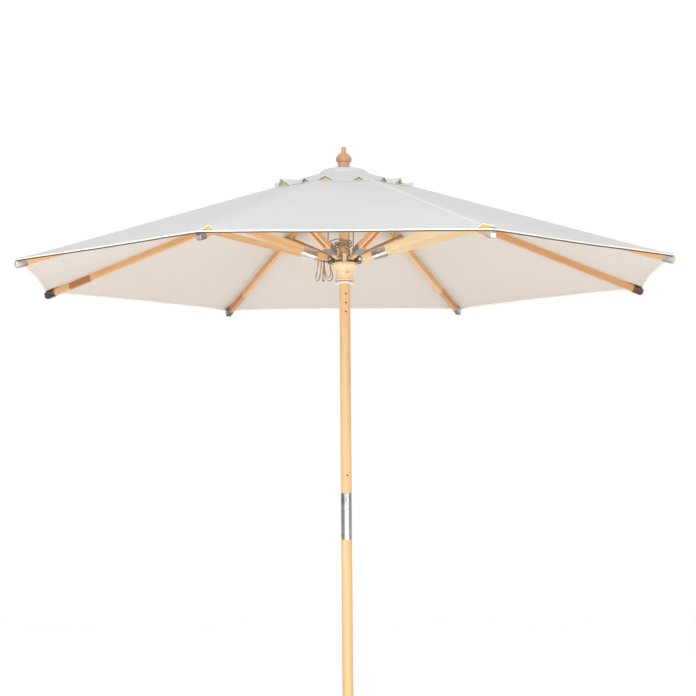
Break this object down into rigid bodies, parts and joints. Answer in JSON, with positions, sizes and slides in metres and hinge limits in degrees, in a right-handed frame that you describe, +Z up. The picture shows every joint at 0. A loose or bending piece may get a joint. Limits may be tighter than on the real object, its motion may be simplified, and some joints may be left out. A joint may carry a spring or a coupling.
{
  "type": "market umbrella",
  "caption": "Wooden octagonal market umbrella with a vented canopy, hinged ribs and struts on a sliding runner, rope hoist and two-piece pole; no base.",
  "frame": {"origin": "centre of the pole's foot, on the ground", "axes": "+Z up along the pole, -Y towards the front, where the lock holes are"},
  "size_m": [2.7822, 2.7822, 2.5841],
  "materials": {
    "pole_wood": "oiled satin, straight fine grain, light honey tan",
    "rib_wood": "oiled satin, straight fine grain, golden orange",
    "turned_wood": "turned and oiled, satin, light honey tan",
    "finial_wood": "turned and lacquered, satin, pinkish tan",
    "steel": "bright stainless steel, lightly brushed",
    "dark_steel": "darker folded steel, satin",
    "canvas": "plain-weave off-white awning canvas, matt",
    "rope": "braided beige cord, matt",
    "nylon": "natural nylon, satin"
  },
  "bodies": {
    "lower_pole": {"lower_pole": "pole_wood"},
    "upper_pole": {"upper_pole": "pole_wood", "joint_sleeve": "steel", "sleeve_screws": "steel", "top_hub": "turned_wood", "hub_pins": "steel", "finial_stud": "steel", "crown_cover": "canvas", "rope_over_hub": "rope", "rope_falls": "rope"},
    "finial": {"finial": "finial_wood"},
    "sheave_left": {"sheave_left": "nylon"},
    "sheave_right": {"sheave_right": "nylon"},
    "runner": {"runner_body": "turned_wood", "runner_ring": "steel", "strut_brackets": "dark_steel", "runner_fasteners": "steel", "rope_coil": "rope", "rope_bights": "rope"},
    "lock_pin": {"lock_pin": "steel"},
    "rib_1": {"rib_1": "rib_wood", "rib_fittings_1": "steel", "canopy_panel_1": "canvas"},
    "rib_2": {"rib_2": "rib_wood", "rib_fittings_2": "steel", "canopy_panel_2": "canvas"},
    "rib_3": {"rib_3": "rib_wood", "rib_fittings_3": "steel", "canopy_panel_3": "canvas"},
    "rib_4": {"rib_4": "rib_wood", "rib_fittings_4": "steel", "canopy_panel_4": "canvas"},
    "rib_5": {"rib_5": "rib_wood", "rib_fittings_5": "steel", "canopy_panel_5": "canvas"},
    "rib_6": {"rib_6": "rib_wood", "rib_fittings_6": "steel", "canopy_panel_6": "canvas"},
    "rib_7": {"rib_7": "rib_wood", "rib_fittings_7": "steel", "canopy_panel_7": "canvas"},
    "rib_8": {"rib_8": "rib_wood", "rib_fittings_8": "steel", "canopy_panel_8": "canvas"},
    "strut_1": {"strut_1": "rib_wood", "strut_fittings_1": "steel"},
    "strut_2": {"strut_2": "rib_wood", "strut_fittings_2": "steel"},
    "strut_3": {"strut_3": "rib_wood", "strut_fittings_3": "steel"},
    "strut_4": {"strut_4": "rib_wood", "strut_fittings_4": "steel"},
    "strut_5": {"strut_5": "rib_wood", "strut_fittings_5": "steel"},
    "strut_6": {"strut_6": "rib_wood", "strut_fittings_6": "steel"},
    "strut_7": {"strut_7": "rib_wood", "strut_fittings_7": "steel"},
    "strut_8": {"strut_8": "rib_wood", "strut_fittings_8": "steel"}
  },
  "joints": [
    {"name": "pole_lift", "type": "slide", "parent": "lower_pole", "child": "upper_pole", "axis": [0, 0, 1], "range_m": [0, 0.12]},
    {"name": "runner_slide", "type": "slide", "parent": "upper_pole", "child": "runner", "axis": [0, 0, -1], "range_m": [0, 0.8879], "deforming": ["rope_falls", "canopy_panel_1", "canopy_panel_2", "canopy_panel_3", "canopy_panel_4", "canopy_panel_5", "canopy_panel_6", "canopy_panel_7", "canopy_panel_8"]},
    {"name": "finial_screw", "type": "hinge", "parent": "upper_pole", "child": "finial", "pos_m": [0, 0, 2.49], "axis": [0, 0, 1], "continuous": true},
    {"name": "sheave_left_spin", "type": "hinge", "parent": "upper_pole", "child": "sheave_left", "pos_m": [-0.059, 0, 2.441], "axis": [0, 1, 0], "continuous": true},
    {"name": "sheave_right_spin", "type": "hinge", "parent": "upper_pole", "child": "sheave_right", "pos_m": [0.025, 0, 2.441], "axis": [0, 1, 0], "continuous": true},
    {"name": "lock_pin_push", "type": "slide", "parent": "runner", "child": "lock_pin", "axis": [-0.2079, 0.9781, 0], "range_m": [0, 0.016]},
    {"name": "rib_1_hinge", "type": "hinge", "parent": "upper_pole", "child": "rib_1", "pos_m": [0.06929, 0.0287, 2.442], "axis": [-0.3827, 0.9239, 0], "range_deg": [0, 68.45]},
    {"name": "rib_2_hinge", "type": "hinge", "parent": "upper_pole", "child": "rib_2", "pos_m": [0.0287, 0.06929, 2.442], "axis": [-0.9239, 0.3827, 0], "range_deg": [0, 68.45]},
    {"name": "rib_3_hinge", "type": "hinge", "parent": "upper_pole", "child": "rib_3", "pos_m": [-0.0287, 0.06929, 2.442], "axis": [-0.9239, -0.3827, 0], "range_deg": [0, 68.45]},
    {"name": "rib_4_hinge", "type": "hinge", "parent": "upper_pole", "child": "rib_4", "pos_m": [-0.06929, 0.0287, 2.442], "axis": [-0.3827, -0.9239, 0], "range_deg": [0, 68.45]},
    {"name": "rib_5_hinge", "type": "hinge", "parent": "upper_pole", "child": "rib_5", "pos_m": [-0.06929, -0.0287, 2.442], "axis": [0.3827, -0.9239, 0], "range_deg": [0, 68.45]},
    {"name": "rib_6_hinge", "type": "hinge", "parent": "upper_pole", "child": "rib_6", "pos_m": [-0.0287, -0.06929, 2.442], "axis": [0.9239, -0.3827, 0], "range_deg": [0, 68.45]},
    {"name": "rib_7_hinge", "type": "hinge", "parent": "upper_pole", "child": "rib_7", "pos_m": [0.0287, -0.06929, 2.442], "axis": [0.9239, 0.3827, 0], "range_deg": [0, 68.45]},
    {"name": "rib_8_hinge", "type": "hinge", "parent": "upper_pole", "child": "rib_8", "pos_m": [0.06929, -0.0287, 2.442], "axis": [0.3827, 0.9239, 0], "range_deg": [0, 68.45]},
    {"name": "strut_1_hinge", "type": "hinge", "parent": "runner", "child": "strut_1", "pos_m": [0.06929, 0.0287, 2.0778], "axis": [-0.3827, 0.9239, 0], "range_deg": [-69.88, 0]},
    {"name": "strut_2_hinge", "type": "hinge", "parent": "runner", "child": "strut_2", "pos_m": [0.0287, 0.06929, 2.0778], "axis": [-0.9239, 0.3827, 0], "range_deg": [-69.88, 0]},
    {"name": "strut_3_hinge", "type": "hinge", "parent": "runner", "child": "strut_3", "pos_m": [-0.0287, 0.06929, 2.0778], "axis": [-0.9239, -0.3827, 0], "range_deg": [-69.88, 0]},
    {"name": "strut_4_hinge", "type": "hinge", "parent": "runner", "child": "strut_4", "pos_m": [-0.06929, 0.0287, 2.0778], "axis": [-0.3827, -0.9239, 0], "range_deg": [-69.88, 0]},
    {"name": "strut_5_hinge", "type": "hinge", "parent": "runner", "child": "strut_5", "pos_m": [-0.06929, -0.0287, 2.0778], "axis": [0.3827, -0.9239, 0], "range_deg": [-69.88, 0]},
    {"name": "strut_6_hinge", "type": "hinge", "parent": "runner", "child": "strut_6", "pos_m": [-0.0287, -0.06929, 2.0778], "axis": [0.9239, -0.3827, 0], "range_deg": [-69.88, 0]},
    {"name": "strut_7_hinge", "type": "hinge", "parent": "runner", "child": "strut_7", "pos_m": [0.0287, -0.06929, 2.0778], "axis": [0.9239, 0.3827, 0], "range_deg": [-69.88, 0]},
    {"name": "strut_8_hinge", "type": "hinge", "parent": "runner", "child": "strut_8", "pos_m": [0.06929, -0.0287, 2.0778], "axis": [0.3827, 0.9239, 0], "range_deg": [-69.88, 0]}
  ],
  "couplings": [
    {"joint": "rib_1_hinge", "follows": "runner_slide", "rad_per_m": 1.3446},
    {"joint": "rib_2_hinge", "follows": "runner_slide", "rad_per_m": 1.3446},
    {"joint": "rib_3_hinge", "follows": "runner_slide", "rad_per_m": 1.3446},
    {"joint": "rib_4_hinge", "follows": "runner_slide", "rad_per_m": 1.3446},
    {"joint": "rib_5_hinge", "follows": "runner_slide", "rad_per_m": 1.3446},
    {"joint": "rib_6_hinge", "follows": "runner_slide", "rad_per_m": 1.3446},
    {"joint": "rib_7_hinge", "follows": "runner_slide", "rad_per_m": 1.3446},
    {"joint": "rib_8_hinge", "follows": "runner_slide", "rad_per_m": 1.3446},
    {"joint": "strut_1_hinge", "follows": "runner_slide", "rad_per_m": -1.3728},
    {"joint": "strut_2_hinge", "follows": "runner_slide", "rad_per_m": -1.3728},
    {"joint": "strut_3_hinge", "follows": "runner_slide", "rad_per_m": -1.3728},
    {"joint": "strut_4_hinge", "follows": "runner_slide", "rad_per_m": -1.3728},
    {"joint": "strut_5_hinge", "follows": "runner_slide", "rad_per_m": -1.3728},
    {"joint": "strut_6_hinge", "follows": "runner_slide", "rad_per_m": -1.3728},
    {"joint": "strut_7_hinge", "follows": "runner_slide", "rad_per_m": -1.3728},
    {"joint": "strut_8_hinge", "follows": "runner_slide", "rad_per_m": -1.3728}
  ]
}
